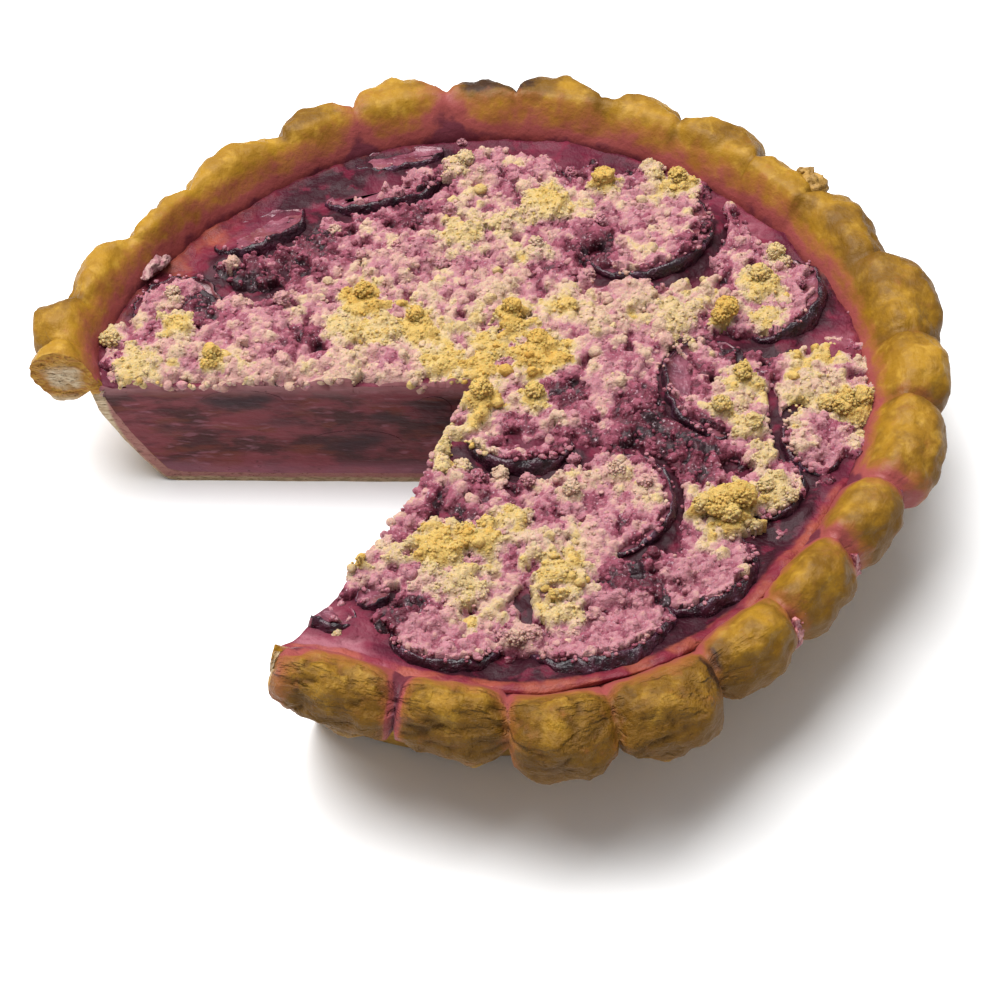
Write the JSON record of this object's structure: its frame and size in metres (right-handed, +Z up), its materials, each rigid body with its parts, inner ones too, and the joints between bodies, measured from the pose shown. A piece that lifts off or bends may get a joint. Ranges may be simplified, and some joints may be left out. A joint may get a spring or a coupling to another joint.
{
  "type": "plum crumble pie",
  "caption": "Round baked pie with a crimped pastry rim, plum halves in a set plum filling, a crumble topping and a slice cut out.",
  "frame": {"origin": "centre of the round base, on its underside", "axes": "+Z up through the pie from base to crumble; the missing slice opens towards -X and -Y, from the straight cut that runs along -X round to the uneven cut"},
  "size_m": [0.2463, 0.2382, 0.0516],
  "materials": {
    "crust": "satin, egg-washed and browned",
    "custard": "satin, moist where cut, glossy with juice at the edge",
    "crumble": "matt, crumbly",
    "plum": "glossy skin, moist flesh"
  },
  "bodies": {
    "root": {"crust": "crust", "custard": "custard", "crumble": "crumble", "plum_half_01": "plum", "plum_half_02": "plum", "plum_half_03": "plum", "plum_half_04": "plum", "plum_half_05": "plum", "plum_half_06": "plum", "plum_half_07": "plum", "plum_half_08": "plum", "plum_half_09": "plum", "plum_half_10": "plum", "plum_half_11": "plum", "plum_half_12": "plum", "plum_half_13": "plum", "plum_half_14": "plum", "plum_half_15": "plum", "plum_half_16": "plum", "sunken_plum_1": "plum", "sunken_plum_2": "plum", "sunken_plum_3": "plum"}
  },
  "joints": []
}
